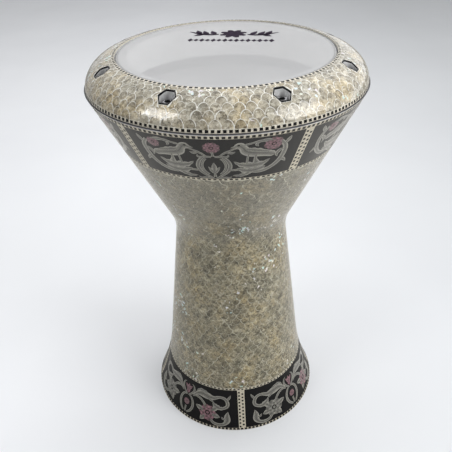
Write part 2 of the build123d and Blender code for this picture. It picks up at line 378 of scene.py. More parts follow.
# Colours of the shell chips, from dark to light
RING_SHELL = [
    (0.0, (0.16, 0.140, 0.100)),
    (0.3, (0.36, 0.320, 0.240)),
    (0.6, (0.54, 0.49, 0.38)),
    (0.85, (0.67, 0.62, 0.50)),
    (1.0, (0.80, 0.77, 0.68)),
]
BODY_SHELL = [
    (0.0, (0.060, 0.050, 0.026)),
    (0.25, (0.180, 0.157, 0.094)),
    (0.5, (0.295, 0.262, 0.168)),
    (0.75, (0.40, 0.352, 0.226)),
    (1.0, (0.60, 0.56, 0.44)),
]
RAINBOW = [
    (0.0, (0.95, 0.86, 0.90)),
    (0.25, (0.98, 0.96, 0.84)),
    (0.5, (0.62, 0.92, 0.84)),
    (0.75, (0.80, 0.90, 0.98)),
    (1.0, (0.95, 0.86, 0.90)),
]
COLD_TO_WARM = [
    (0.34, (0.84, 0.87, 0.90)),
    (0.5, (1.0, 1.0, 1.0)),
    (0.66, (1.12, 1.03, 0.84)),
]


def even(value):
    """A colour or a vector of three equal parts."""
    return (value,) * 3


def shaded(colour, share):
    return tuple(min(1.0, share * tone) for tone in colour)


class Nodes:
    """Short ways to add nodes to a tree."""

    def __init__(self, tree):
        self.tree = tree

    def node(self, kind, inputs=None, **settings):
        made = self.tree.nodes.new("ShaderNode" + kind)
        for key, value in settings.items():
            setattr(made, key, value)
        for key, value in (inputs or {}).items():
            self.feed(made.inputs[key], value)
        return made

    def feed(self, socket, value):
        """Links a socket to an input, or gives the input a plain value."""
        if isinstance(value, bpy.types.NodeSocket):
            self.tree.links.new(value, socket)
        else:
            socket.default_value = value

    def math(self, operation, a, b=0.0, clamp=False):
        made = self.node("Math", {0: a, 1: b}, operation=operation, use_clamp=clamp)
        return made.outputs[0]

    def vector_math(self, operation, a, b=(0.0, 0.0, 0.0)):
        return self.node("VectorMath", {0: a, 1: b}, operation=operation).outputs[0]

    def graded(self, value, start, end, low=0.0, high=1.0, easing="LINEAR"):
        """Goes from low to high as the value goes from start to end."""
        inputs = {"Value": value, "From Min": start, "From Max": end, "To Min": low, "To Max": high}
        return self.node("MapRange", inputs, interpolation_type=easing).outputs[0]


class Shader(Nodes):
    """One material, and short ways to add its nodes."""

    def __init__(self, name, **principled):
        self.material = bpy.data.materials.new(name)
        self.material.use_nodes = True
        super().__init__(self.material.node_tree)
        for key, value in principled.items():
            self.set(key.replace("_", " "), value)

    def set(self, name, value):
        self.feed(self.tree.nodes["Principled BSDF"].inputs[name], value)

    def place(self):
        """Position in the piece, which is its place in the drum."""
        return self.node("TexCoord").outputs["Object"]

    def coordinates(self):
        return self.node("SeparateXYZ", {"Vector": self.place()}).outputs

    def noise(self, scale, detail=3.0, roughness=0.55):
        inputs = {"Scale": scale, "Detail": detail, "Roughness": roughness}
        return self.node("TexNoise", {"Vector": self.place(), **inputs}).outputs["Fac"]

    def cells(self, scale, vector=None):
        return self.node("TexVoronoi", {"Vector": vector or self.place(), "Scale": scale}).outputs

    def channels(self, colour):
        return self.node("SeparateColor", {"Color": colour}).outputs

    def ramp(self, factor, stops):
        made = self.node("ValToRGB", {"Fac": factor})
        elements = made.color_ramp.elements
        while len(elements) < len(stops):
            elements.new(0.5)
        for element, (place, colour) in zip(elements, stops):
            element.position = place
            element.color = (*colour, 1.0)
        return made.outputs["Color"]

    def mix(self, factor, a, b, blend="MIX"):
        made = self.node("Mix", {"Factor": factor}, data_type="RGBA", blend_type=blend)
        for key, value in ((6, a), (7, b)):
            plain = not isinstance(value, bpy.types.NodeSocket)
            self.feed(made.inputs[key], (*value, 1.0) if plain else value)
        return made.outputs[2]

    def value(self, name):
        return self.node("Attribute", attribute_name=name).outputs["Fac"]

    def bump(self, height, strength, distance):
        inputs = {"Height": height, "Strength": strength, "Distance": distance}
        self.set("Normal", self.node("Bump", inputs).outputs["Normal"])


def pearl(
    name, stops, chip_size, flake_tilt, iridescence,
    contrast, cloud, flash, glints, crest_shade, reflection=0.0,
):
    """Crushed and cut shell under clear lacquer: chips of many tones that flash as they tilt."""
    m = Shader(name, Coat_Weight=1.0, Coat_Roughness=0.035, Coat_IOR=1.5, Metallic=flash)

    # Chips and smaller crumbs, with bent outlines
    warp = m.node("TexNoise", {"Vector": m.place(), "Scale": 500.0, "Detail": 2.0})
    bent = m.vector_math("MULTIPLY", warp.outputs["Color"], even(WARP))
    moved = m.vector_math("ADD", m.place(), bent)
    chip_colour = m.cells(1 / chip_size, moved)["Color"]
    chip = m.channels(chip_colour)
    crumb = m.channels(m.cells(2.8 / chip_size, moved)["Color"])

    # Tone of each chip
    tone = m.math("MULTIPLY", m.value("tint"), SCALE_SHARE)
    tone = m.math("ADD", tone, m.math("MULTIPLY", chip[0], 0.6 * (1 - SCALE_SHARE)))
    tone = m.math("ADD", tone, m.math("MULTIPLY", crumb[0], 0.4 * (1 - SCALE_SHARE)))
    tone = m.math("MULTIPLY", m.math("SUBTRACT", tone, 0.5), contrast)
    colour = m.ramp(m.math("ADD", tone, 0.5, clamp=True), stops)

    # Warm, cold and dull patches, and painted shade just inside each scale's crest, under the pale line
    colour = m.mix(1.0, colour, m.ramp(m.noise(38.0, 5.0), COLD_TO_WARM), "MULTIPLY")
    dull = [(0.3, even(1 - cloud)), (0.7, even(1 + cloud * 0.5))]
    colour = m.mix(1.0, colour, m.ramp(m.noise(90.0, 5.0), dull), "MULTIPLY")
    crest = m.math("MULTIPLY", m.noise(260.0), crest_shade)
    crest = m.math("MULTIPLY", m.graded(m.value("across"), 0.55, 1.0), crest)
    colour = m.mix(crest, colour, stops[0][1])
    # Painted reflection: the upper body fades into the grey of the mirrored room
    if reflection:
        sway = m.math("MULTIPLY", m.math("SUBTRACT", m.noise(12.0), 0.5), 0.16)
        rise = m.graded(m.math("ADD", m.coordinates()[2], sway), REFLECTION_FOOT, REFLECTION_TOP)
        colour = m.mix(m.math("MULTIPLY", rise, reflection), colour, REFLECTION_TONE)

    # Painted glints: a few chips take pale rainbow tones that shift with the viewing angle
    facing = m.node("LayerWeight", {"Blend": 0.4}).outputs["Facing"]
    phase = m.math("FRACT", m.math("ADD", m.math("MULTIPLY", facing, 2.2), chip[1]))
    rare = m.math("GREATER_THAN", m.math("ADD", chip[2], m.noise(24.0, 2.0)), glints)
    colour = m.mix(m.math("MULTIPLY", rare, iridescence), colour, m.ramp(phase, RAINBOW))
    m.set("Base Color", colour)

    # Each chip is tilted a little and has its own roughness
    m.set("Roughness", m.math("ADD", 0.22, m.math("MULTIPLY", crumb[1], 0.25)))
    tilt = m.vector_math("SUBTRACT", chip_colour, even(0.5))
    tilt = m.vector_math("MULTIPLY", tilt, even(flake_tilt))
    tipped = m.vector_math("ADD", m.node("NewGeometry").outputs["Normal"], tilt)
    m.set("Normal", m.vector_math("NORMALIZE", tipped))
    return m.material


def lacquer(name, colour, spread=0.06, coat=1.0, roughness=0.35):
    """Plain filler or black ground under the same clear lacquer."""
    m = Shader(name, Roughness=roughness, Coat_Weight=coat, Coat_Roughness=0.04, Coat_IOR=1.5)
    m.set("Specular IOR Level", 0.1)
    tones = [(0.35, shaded(colour, 1 - 3 * spread)), (0.65, shaded(colour, 1 + spread))]
    m.set("Base Color", m.ramp(m.noise(700.0, 4.0), tones))
    m.bump(m.noise(60.0, 2.0), 0.04, 0.4 * MM)
    return m.material


def engraved(name, colour, deep):
    """Cut shell, darkened by fine engraving and along the spine of each leaf or scroll."""
    m = Shader(name, Roughness=0.3, Coat_Weight=1.0, Coat_Roughness=0.04, Coat_IOR=1.5)
    m.set("Metallic", 0.25)
    side = m.math("ABSOLUTE", m.value("across"))
    veins = m.math("MULTIPLY", m.value("along"), VEINS)
    veins = m.math("FRACT", m.math("ADD", veins, m.math("MULTIPLY", side, 1.1)))
    lines = m.math("MAXIMUM", m.math("LESS_THAN", veins, 0.34), m.math("LESS_THAN", side, 0.10))
    inside = m.math("SUBTRACT", 1.0, m.math("GREATER_THAN", side, 0.74))
    cut = m.math("MULTIPLY", m.math("MULTIPLY", lines, 0.9), inside)
    base = m.mix(m.graded(side, 0.15, 0.80), shaded(colour, 0.50), shaded(colour, 1.35))
    chip = m.channels(m.cells(420.0)["Color"])[0]
    base = m.mix(m.math("MULTIPLY", chip, 0.35), base, colour)
    clouds = m.ramp(m.noise(160.0), [(0.3, (0.75, 0.75, 0.78)), (0.7, (1.05, 1.05, 1.0))])
    m.set("Base Color", m.mix(cut, m.mix(1.0, base, clouds, "MULTIPLY"), deep))
    return m.material


def metal(name, colour, roughness, grain, relief, lathe=0.0, share=1.0):
    """Bare metal: cast grain, or fine turned lines where lathe is above nought."""
    m = Shader(name, Metallic=share)
    rough = m.noise(grain, 5.0, 0.6)
    if lathe:
        inputs = {"W": m.coordinates()[2], "Scale": lathe, "Detail": 2.0}
        lines = m.node("TexNoise", inputs, noise_dimensions="1D").outputs["Fac"]
        rough = m.math("ADD", m.math("MULTIPLY", rough, 0.5), lines)
    m.set("Base Color", m.ramp(m.noise(45.0, 4.0), [(0.3, shaded(colour, 0.72)), (0.6, colour)]))
    m.set("Roughness", m.math("ADD", roughness - 0.08, m.math("MULTIPLY", rough, 0.16)))
    m.bump(rough, relief, 0.15 * MM)
    return m.material


def shell_metal():
    """The body's casting: dull as cast inside, bright at the turned collar, tarnished at the lip, with
    painted shade below the collar, on the crown and in the gap under the ring.
    """
    m = Shader("shell_casting", Metallic=0.3)
    x, y, height = m.coordinates()
    collar = m.math("GREATER_THAN", height, COLLAR_FOOT)
    # Painted shade: the crown under the film is painted dark to match the shaded inside seen through it
    crown = m.math("GREATER_THAN", height, node_heights("shell")[1] - CROWN_DEPTH)
    sand = m.noise(700.0, 5.0, 0.65)
    # Painted shade: the cast skin darkens up under the collar and lightens lower down
    rise = m.graded(height, COLLAR_FOOT - 45 * MM, COLLAR_FOOT - 14 * MM)
    skin = m.mix(rise, (0.62, 0.62, 0.61), even(0.27))
    skin = m.mix(1.0, skin, m.ramp(sand, [(0.3, even(0.8)), (0.7, even(1.1))]), "MULTIPLY")
    colour = m.mix(crown, m.mix(collar, skin, even(0.86)), even(0.22))

    lip_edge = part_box("shell_top_checker")[1].x - LIP_WIDTH
    lip_top = node_heights("shell_top_checker")[1] + LIP_HEIGHT
    reach = m.math("SQRT", m.math("ADD", m.math("MULTIPLY", x, x), m.math("MULTIPLY", y, y)))
    lip = m.math("MULTIPLY", m.math("GREATER_THAN", reach, lip_edge), collar)
    # Painted shade: the top of the bare lip darkens into the gap under the tension ring; the tarnish is
    # the lip's own
    gap_shade = m.graded(height, lip_top - 0.8 * MM, lip_top - 0.4 * MM)
    tarnish = m.ramp(m.noise(60.0, 4.0), [(0.42, (0.50, 0.50, 0.52)), (0.58, even(0.86))])
    tarnish_and_gap_shade = m.mix(gap_shade, tarnish, (0.13, 0.13, 0.14))
    m.set("Base Color", m.mix(lip, colour, tarnish_and_gap_shade))
    m.set("Roughness", m.math("ADD", 0.42, m.math("MULTIPLY", sand, 0.25)))
    m.bump(sand, 0.25, 0.15 * MM)
    return m.material


def film_material():
    """Milky polyester film: each face lets most of the light through and scatters the rest."""
    m = Shader("film", Roughness=0.45, Alpha=FILM_ALPHA)
    m.set("Specular IOR Level", 0.25)
    milk = m.ramp(m.noise(14.0, 4.0), [(0.3, (0.90, 0.905, 0.915)), (0.7, (0.95, 0.952, 0.955))])
    specks = m.math("LESS_THAN", m.cells(150.0)["Distance"], 0.035)
    m.set("Base Color", m.mix(m.math("MULTIPLY", specks, 0.5), milk, (0.30, 0.30, 0.32)))
    m.bump(m.noise(9.0), 0.02, 1.0 * MM)
    return m.material


ring_pearl = pearl(
    "ring_pearl", RING_SHELL, chip_size=2.6 * MM, flake_tilt=0.10, iridescence=0.8,
    contrast=1.3, cloud=0.26, flash=0.12, glints=GLINTS - 0.05, crest_shade=0.80,
)
body_pearl = pearl(
    "body_pearl", BODY_SHELL, chip_size=2.5 * MM, flake_tilt=0.26, iridescence=0.85,
    contrast=1.25, cloud=0.46, flash=0.30, glints=GLINTS, crest_shade=0.45, reflection=0.5,
)
ring_line = lacquer("ring_line", (0.86, 0.85, 0.79))
body_line = lacquer("body_line", (0.50, 0.48, 0.38))
black_lacquer = lacquer("black_lacquer", (0.008, 0.008, 0.009), spread=0.15, coat=0.72)
foot_lacquer = lacquer("foot_lacquer", (0.006, 0.006, 0.007), spread=0.15, coat=0.12)
frame_lacquer = lacquer("frame_lacquer", (0.010, 0.010, 0.011), spread=0.15, coat=0.2)
cream = lacquer("cream_strip", (0.62, 0.57, 0.45), spread=0.10, coat=0.6)
ring_cream = lacquer("ring_cream_strip", (0.76, 0.71, 0.59), spread=0.10, coat=0.6)
black_square = lacquer("black_square", (0.010, 0.009, 0.009), spread=0.2, coat=0.4)
resin = lacquer("hoop_resin", (0.45, 0.38, 0.25), spread=0.1)
ink = lacquer("head_ink", (0.020, 0.010, 0.026), spread=0.2, coat=0.0, roughness=0.6)
grey_shell = engraved("grey_shell", (0.29, 0.283, 0.25), (0.06, 0.06, 0.05))
pink_shell = engraved("pink_shell", (0.33, 0.15, 0.19), (0.06, 0.03, 0.035))
ring_metal = metal("ring_aluminium", even(0.94), 0.30, grain=1200.0, relief=0.15, share=0.35)
turned_metal = metal("turned_aluminium", even(0.70), 0.25, grain=1500.0, relief=0.1, lathe=4000.0)
steel = metal("bolt_steel", (0.30, 0.30, 0.31), 0.28, grain=2000.0, relief=0.12)
bright_steel = metal("washer_steel", (0.66, 0.66, 0.67), 0.22, grain=1200.0, relief=0.1)

NODE_MATERIALS = {
    "shell": shell_metal(),
    "tension_ring": ring_metal,
    "body_pearl_mosaic": body_line,
    "rim_pearl_mosaic": ring_line,
    "rim_lower_checker": ring_cream,
    "rim_inner_checker": ring_cream,
    "bowl_black_panels": black_lacquer,
    "foot_black_panels": foot_lacquer,
    "bolt_hex_frames": frame_lacquer,
    "drumhead_film": film_material(),
    "head_hoop": turned_metal,
    "head_resin": resin,
    "bolt_washers": bright_steel,
}
for node_name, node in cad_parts.items():
    default = steel if node_name.startswith("tension_bolt") else cream
    node.data.materials.clear()
    node.data.materials.append(NODE_MATERIALS.get(node_name, default))


# ---------------------------------------------------------------- shell scales
def body_span(name):
    """Lengths along the body's outline at a node's foot and top."""
    return [body.at_height(height) for height in node_heights(name)]


def hexagon_hole(bolt_name):
    """The hexagonal inlay round a bolt, drawn flat on the ring with a little room round it."""
    low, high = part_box(bolt_name)
    axis = 0.5 * (low + high)
    turn = math.atan2(axis.y, axis.x)
    corners = []
    for k in range(6):
        way = turn + (k + 0.5) * TAU / 6
        x, y = axis.x + HEX_REACH * math.cos(way), axis.y + HEX_REACH * math.sin(way)
        angle = turn + (math.atan2(y, x) - turn + math.pi) % TAU - math.pi
        corners.append((angle, ring.at_radius(math.hypot(x, y))))
    corners = np.array(corners)
    return corners if shape_area(corners) > 0 else corners[::-1]


bolt_holes = []
for number in range(1, BOLTS + 1):
    hole = hexagon_hole(f"tension_bolt_{number}")
    bolt_holes += [hole + (whole_turn, 0) for whole_turn in (-TAU, 0, TAU)]

lower_strip = ring.at_height(node_heights("rim_lower_checker")[1])
inner_strip = ring.at_radius(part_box("rim_inner_checker")[1].x)
ring_scales = Drawing()
scale_rows(
    [ring_scales], 1, ring, lower_strip + SEAM, inner_strip - SEAM,
    SCALES_ON_RING, RING_LINE, bolt_holes,
)
ring_scales.build("ring_shell_scales", ring, "tension_ring", ring_pearl, "rim_pearl")

mosaic_foot, mosaic_top = body_span("body_pearl_mosaic")
body_scales = [Drawing() for _ in BODY_PARTS]
scale_rows(
    body_scales, ROWS_IN_PART, body, mosaic_foot + SEAM, mosaic_top - SEAM,
    SCALES_ON_BODY, BODY_LINE, flip=-1,
)
for part_name, part_scales in zip(BODY_PARTS, body_scales):
    part_scales.build(f"body_shell_scales_{part_name}", body, "shell", body_pearl, "body_pearl")


# ---------------------------------------------------------------- checker strips
def strip_squares(name, strip, outline, low, high, body_name):
    """Black squares along the middle of a cream strip between two lengths."""
    share, margin = SQUARE_SHARES[strip]
    middle = outline.radius(0.5 * (low + high))
    count = round(CHECKERS_ON_RING * middle / ring.r.max())
    half = 0.5 * share * TAU / count
    edge = margin * (high - low)
    low, high = low + edge, high - edge
    base = np.array([(-half, low), (half, low), (half, high), (-half, high)])
    drawing = Drawing()
    for i in range(count):
        wobble = rng.normal(0, SQUARE_PLAY, (4, 2)) * (2 * half, high - low)
        drawing.add(*plate(base + wobble + (i * TAU / count, 0)), tint=rng.random())
    drawing.build(name, outline, body_name, black_square, "black_lacquer")


strip_squares("rim_lower_squares", "rim_lower_checker", ring, 0.0, lower_strip, "tension_ring")
strip_squares("rim_inner_squares", "rim_inner_checker", ring, inner_strip, ring.s[-1], "tension_ring")
for strip_name in [name for name in SQUARE_SHARES if not name.startswith("rim")]:
    strip_squares(strip_name + "_squares", strip_name, body, *body_span(strip_name), "shell")


def divider_squares(name, strip, count):
    """Two staggered columns of black squares on each divider; gives back the dividers' turn."""
    low, high = body_span(strip)
    points = np.array([v.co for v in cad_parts[strip].data.vertices])
    angles = np.arctan2(points[:, 1], points[:, 0])
    turn = float(np.angle(np.exp(1j * angles * count).mean())) / count
    square = np.array([(-1, -1), (1, -1), (1, 1), (-1, 1)]) * DIVIDER_SQUARE / 2
    drawing = Drawing()
    for k in range(count):
        for column, first in FIRST_SQUARES.items():
            length = low + first
            while length < high - DIVIDER_END:
                flat = (square + (column * COLUMN_OFFSET, 0)) / (body.radius(length), 1)
                flat = flat + (turn + k * TAU / count, length)
                drawing.add(*plate(flat), tint=rng.random())
                length += DIVIDER_STEP
    drawing.build(name, body, "shell", black_square, "black_lacquer")
    return turn


bowl_turn = divider_squares("bowl_divider_squares", "bowl_panel_dividers", BOWL_PANELS)
foot_turn = divider_squares("foot_divider_squares", "foot_panel_dividers", FOOT_PANELS)


# ---------------------------------------------------------------- ornament panels
def smooth_path(controls, count):
    """A Catmull-Rom curve through rows of control values."""
    p = np.asarray(controls, float)
    p = np.vstack([2 * p[0] - p[1], p, 2 * p[-1] - p[-2]])
    t = np.linspace(0, len(p) - 3 - 1e-9, count)
    i = t.astype(int)
    f = (t - i)[:, None]
    a, b, c, d = p[i], p[i + 1], p[i + 2], p[i + 3]
    bend = (2 * a - 5 * b + 4 * c - d) * f**2 + (3 * b - a - 3 * c + d) * f**3
    return 0.5 * (2 * b + (c - a) * f + bend)


class Panel:
    """A panel of a band in flat millimetres: x round the drum from its middle, y up its height."""

    side = 1  # what follows is drawn on the right half with 1, mirrored on the left with -1

    def __init__(self, middle, foot_length, radius):
        self.middle, self.foot, self.radius = middle, foot_length, radius

    def place(self, flat):
        angle = self.middle + flat[:, 0] * MM / self.radius
        return np.c_[angle, self.foot + flat[:, 1] * MM, flat[:, 2] * MM]

    def ribbon(self, drawing, *controls, lobes=0, notch=0.3, lift=0.14):
        """A pillowed band along control rows (x, y, half width); lobes cut it into leaflets."""
        count = max(9, 7 * (len(controls) - 1), 6 * lobes + 1)
        path = smooth_path(np.array(controls, float) * (self.side, 1, 1), count)
        way = np.gradient(path[:, :2], axis=0)
        way /= np.maximum(np.linalg.norm(way, axis=1), 1e-9)[:, None]
        across = np.c_[-way[:, 1], way[:, 0]]
        half = np.maximum(path[:, 2], THINNEST)
        if lobes:
            wave = np.abs(np.cos(np.pi * np.linspace(0, lobes, count))) ** 3
            half = half * (1 - notch * wave)
        shares = (-1, -1, -0.45, 0, 0.45, 1, 1)
        heights = (SUNK, RIM, 0.8 * lift, lift, 0.8 * lift, RIM, SUNK)
        wide = len(shares)
        points = []
        for k in range(count):
            for share, height in zip(shares, heights):
                x, y = path[k, :2] + across[k] * share * half[k]
                points.append((x, y, height))
        faces = []
        for k in range(count - 1):
            for j in range(wide):
                a, b = k * wide + j, k * wide + (j + 1) % wide
                faces.append([a, a + wide, b + wide, b])
        faces.append(list(range(wide)))
        faces.append([(count - 1) * wide + j for j in reversed(range(wide))])
        steps = np.linalg.norm(np.diff(path[:, :2], axis=0), axis=1)
        along = np.repeat(np.r_[0, np.cumsum(steps)], wide)
        placed = self.place(np.array(points))
        drawing.add(placed, faces, rng.random(), along, np.tile(shares, count))

    def bloom(self, drawing, x, y, radius, petals, turn=0.0, dip=0.16, lift=0.12):
        """A flower seen from above: a scalloped disc."""
        turns = np.linspace(0, TAU, 8 * petals, endpoint=False)
        wave = petals * (turns - turn) / 2
        reach = radius * (1 - dip * np.abs(np.cos(wave)) ** 4)
        seams = 0.85 * (1 - np.abs(np.sin(wave)))
        points, along, across = [], [], []
        for share, height in ((1.0, SUNK), (1.0, lift - 0.08), (0.8, lift), (0.35, lift - 0.03)):
            for a, r, seam in zip(turns, share * reach, seams):
                points.append((self.side * x + r * math.cos(a), y + r * math.sin(a), height))
                along.append(share * radius)
                across.append(seam if share > 0.4 else 0.4)
        points.append((self.side * x, y, lift))
        along.append(0.0)
        across.append(0.0)
        n = len(turns)
        faces = []
        for start in (0, n, 2 * n):
            for i in range(n):
                a, b = start + i, start + (i + 1) % n
                faces.append([a, b, b + n, a + n])
        faces += [[3 * n + i, 3 * n + (i + 1) % n, 4 * n] for i in range(n)]
        faces.append(list(reversed(range(n))))
        placed = self.place(np.array(points))
        drawing.add(placed, faces, rng.random(), np.array(along), np.array(across))

    def flower(self, pale, dark, x, y, radius, petals, turn=0.0):
        """A flower in three layers with a dark eye."""
        self.bloom(pale, x, y, radius, petals, turn)
        self.bloom(pale, x, y, 0.62 * radius, petals, turn + math.pi / petals, lift=0.19)
        self.bloom(dark, x, y, 0.30 * radius, 8, dip=0.1, lift=0.23)
        self.bloom(pale, x, y, 0.17 * radius, 6, dip=0.0, lift=0.27)


def bird(panel, grey, dark):
    """A plain perching bird that looks towards the panel's middle."""
    panel.ribbon(
        grey, (15, 43.2, 0.2), (18, 44.2, 1.5), (21.8, 45.4, 4), (24.8, 42.6, 3.6), (27.6, 37.8, 4.8),
        (32.8, 35.4, 5.3), (39, 34, 4.5), (45, 32.6, 3.9), (50.4, 31, 3.6), (52.6, 30.2, 1.6),
    )
    panel.ribbon(
        grey, (27.6, 41, 0.8), (32.4, 39.4, 2.7), (39.4, 37.4, 2.6), (47.4, 35.4, 0.4), lobes=4,
        notch=0.25, lift=0.27,
    )
    panel.bloom(dark, 21.2, 46.2, 1.05, 6, dip=0, lift=0.22)
    panel.ribbon(grey, (30, 34.5, 1.1), (29.2, 28.5, 0.9), (29, 21, 1.2))
    panel.ribbon(grey, (36.2, 32.5, 1.3), (36, 27, 1.4), (37.2, 21.4, 3.4))


def bowl_ornament(panel, grey, pink, dark):
    """An urn with a sprig between two perching birds, in a frame of scrolls and flowers."""
    for side in (-1, 1):
        panel.side = side
        panel.ribbon(
            grey, (1.5, 31.6, 1), (7, 31.8, 1.3), (10.8, 31, 1.2), (13, 32.6, 0.7), (12.4, 34.6, 0.3),
        )
        panel.ribbon(
            grey, (8.6, 30.6, 1.3), (12.2, 26, 1.7), (14.4, 18.5, 1.9), (12.4, 11, 1.8),
            (7.6, 5.6, 1.4), (3.4, 2.6, 0.9),
        )
        panel.ribbon(grey, (6.2, 29.2, 0.8), (9.2, 24.6, 1), (10.6, 18.4, 1.1), (9, 12, 1), (5, 7, 0.6))
        panel.ribbon(grey, (1, 1.6, 1), (8, 2, 1.3), (13.5, 1.5, 1), (16, 3.2, 0.4), lobes=3)
        panel.ribbon(grey, (0.6, 9, 1.3), (2.8, 13, 1.5), (5.2, 17.6, 0.3))
        panel.ribbon(
            grey, (5.6, 32.6, 0.6), (9.6, 36.4, 1.1), (14, 39.4, 1), (17.4, 41.4, 0.8),
            (20.5, 42.2, 0.5),
        )
        panel.ribbon(grey, (11.4, 37.4, 0.5), (15.6, 36.4, 1.4), (18.6, 37.8, 0.3))
        bird(panel, grey, dark)
        panel.ribbon(
            grey, (17.4, 24.6, 0.3), (22.4, 20.4, 2.6), (29.6, 18.2, 4.9), (37.4, 18, 5),
            (44.2, 19.8, 3), (49.4, 24.4, 0.3), lobes=6, notch=0.28,
        )
        panel.ribbon(
            grey, (20.4, 15, 0.6), (25.6, 12, 3.4), (32, 10.6, 5), (39.6, 11.4, 4.4),
            (46.6, 14.6, 0.8), lobes=5, lift=0.16,
        )
        panel.ribbon(grey, (32, 8.4, 2.6), (27.6, 5.4, 2.5), (22, 4.2, 1.9), (16.6, 4.6, 0.3), lobes=3)
        panel.ribbon(grey, (14, 12.4, 0.9), (18, 12.6, 1.3), (23, 12.8, 1.2), (27, 13, 1))
        panel.ribbon(
            grey, (36, 7.6, 1.4), (44.4, 8.6, 2.2), (52.4, 12.6, 2.2), (58.4, 20, 2.5), (61, 30, 2.4),
            (60.4, 39, 2.2), (55.6, 46.6, 1.6),
        )
        panel.ribbon(grey, (58, 22.6, 0.9), (62.6, 20.4, 1.9), (65.4, 16.4, 0.3))
        panel.ribbon(grey, (60, 35, 0.6), (56.4, 33.8, 1.9), (54.4, 29.4, 1.5), (55.6, 25.6, 0.3))
        panel.ribbon(grey, (59.4, 41.6, 1.1), (62, 46.4, 1.9), (63.4, 50.6, 0.3))
        panel.ribbon(
            grey, (50, 48.8, 1.2), (42, 50, 2.1), (36, 49, 1.5), (30.4, 47.4, 1.2), (25.8, 46.2, 1.2),
            lobes=3, notch=0.25,
        )
        panel.ribbon(grey, (37, 48.4, 0.5), (35.4, 45.6, 1.3), (37, 43.2, 0.3))
        panel.flower(pink, dark, 49.6, 44.2, 7.2 + 1.1 * side, 7, 0.3 * side)
    panel.ribbon(grey, (0, 3, 1.5), (0, 9, 1), (0, 13.4, 2.4), (0, 18.4, 2.2), (0, 23.4, 0.2))
    panel.ribbon(grey, (0, 32, 1.6), (0, 35, 0.9), (-0.4, 38.6, 1.3))
    panel.flower(pink, dark, -0.4, 43.6, 7.2, 8)


def foot_ornament(panel, grey, pink, dark):
    """A budded loop between two flowers, under leafy branches that curl back towards the middle."""
    for side in (-1, 1):
        panel.side = side
        panel.ribbon(
            grey, (0.8, 29.6, 0.9), (5.6, 28, 1.3), (9.2, 22.4, 1.6), (9.8, 15, 1.7), (7, 8, 1.5),
            (2.6, 3.6, 1),
        )
        panel.ribbon(
            grey, (1.6, 30, 0.9), (6, 33.6, 1.3), (9.4, 38.8, 1.5), (8.8, 44.6, 1), (5.4, 47.6, 0.3),
        )
        panel.ribbon(
            grey, (8, 31.6, 0.6), (13.6, 34.4, 1.3), (20, 33, 1.6), (25.4, 28.4, 1.5),
            (28.6, 22.4, 1.3),
        )
        panel.ribbon(
            grey, (9.2, 33.6, 0.8), (15, 39.2, 2.6), (22, 41.6, 4.9), (30, 40.4, 4.8), (38, 39.6, 2.9),
            (46, 42.2, 1.8), (53, 41, 1.9), (57, 34.6, 2.2), (55.8, 29.4, 2.1), (51, 26.4, 1.8),
        )
        panel.ribbon(
            grey, (13, 41, 0.4), (17.4, 46, 1.7), (24, 46.4, 1.9), (30, 44.8, 0.6), lobes=3,
            notch=0.35, lift=0.17,
        )
        panel.ribbon(
            grey, (28, 39.6, 0.8), (33.6, 36.4, 1.8), (38.6, 33.4, 0.3), lobes=2, notch=0.2, lift=0.17,
        )
        panel.ribbon(
            grey, (52, 26.6, 1.6), (47, 26.2, 3), (42, 28.2, 3.6), (38.8, 31.2, 1.9), (38, 34.2, 0.3),
            lobes=4, notch=0.25, lift=0.17,
        )
        panel.ribbon(grey, (55.4, 38.6, 1), (58.8, 42.2, 1.5), (61, 46.6, 0.3))
        panel.ribbon(
            grey, (35.6, 9, 1.5), (39.6, 4.6, 1.7), (46.4, 2.9, 1.9), (53, 4.6, 2.2), (56.6, 9.4, 3.6),
            (56.4, 15.4, 3.4), (57.4, 22.6, 0.2),
        )
        panel.ribbon(grey, (55.2, 12.6, 0.6), (51.6, 11.6, 1.5), (49.6, 14.6, 0.4), lobes=2, lift=0.19)
        x, y = FOOT_FLOWER
        for reach, way in ((17.8, 2.85), (16.6, -0.20), (17.6, 0.72), (15.4, 4.1)):
            dx, dy = reach * math.cos(way), reach * math.sin(way)
            panel.ribbon(grey, (x, y, 1.4), (x + 0.66 * dx, y + 0.66 * dy, 3.2), (x + dx, y + dy, 0.2))
        panel.flower(pink if side > 0 else grey, dark, x, y, 11.8, 6, 0.4)
        panel.ribbon(pink, (0, 36.6, 1), (2.8, 40.6, 1.6), (5.6, 44.4, 0.3))
    panel.ribbon(grey, (0, 3.4, 1), (0, 8, 1.1), (0, 12, 1.2))
    panel.flower(pink, dark, 0, 18.4, 4.6, 6)
    panel.ribbon(pink, (0, 32, 1.2), (0, 36.6, 2.9), (0, 41, 2.3), (0, 46, 0.3), lobes=3, notch=0.2)


def draw_panels(strip, turn, count, ornament, name):
    """One set of ornaments for a band, spaced half way between its dividers."""
    low, high = body_span(strip)
    radius = body.radius(0.5 * (low + high))
    grey, pink, dark = Drawing(), Drawing(), Drawing()
    for k in range(count):
        panel = Panel(turn + (k + 0.5) * TAU / count, low, radius)
        ornament(panel, grey, pink, dark)
    grey.build(name + "_grey_shell", body, "shell", grey_shell, "body_pearl")
    pink.build(name + "_pink_shell", body, "shell", pink_shell, "body_pearl")
    dark.build(name + "_eyes", body, "shell", black_square, "black_lacquer")


draw_panels("bowl_black_panels", bowl_turn, BOWL_PANELS, bowl_ornament, "bowl_ornament")
draw_panels("foot_black_panels", foot_turn, FOOT_PANELS, foot_ornament, "foot_ornament")


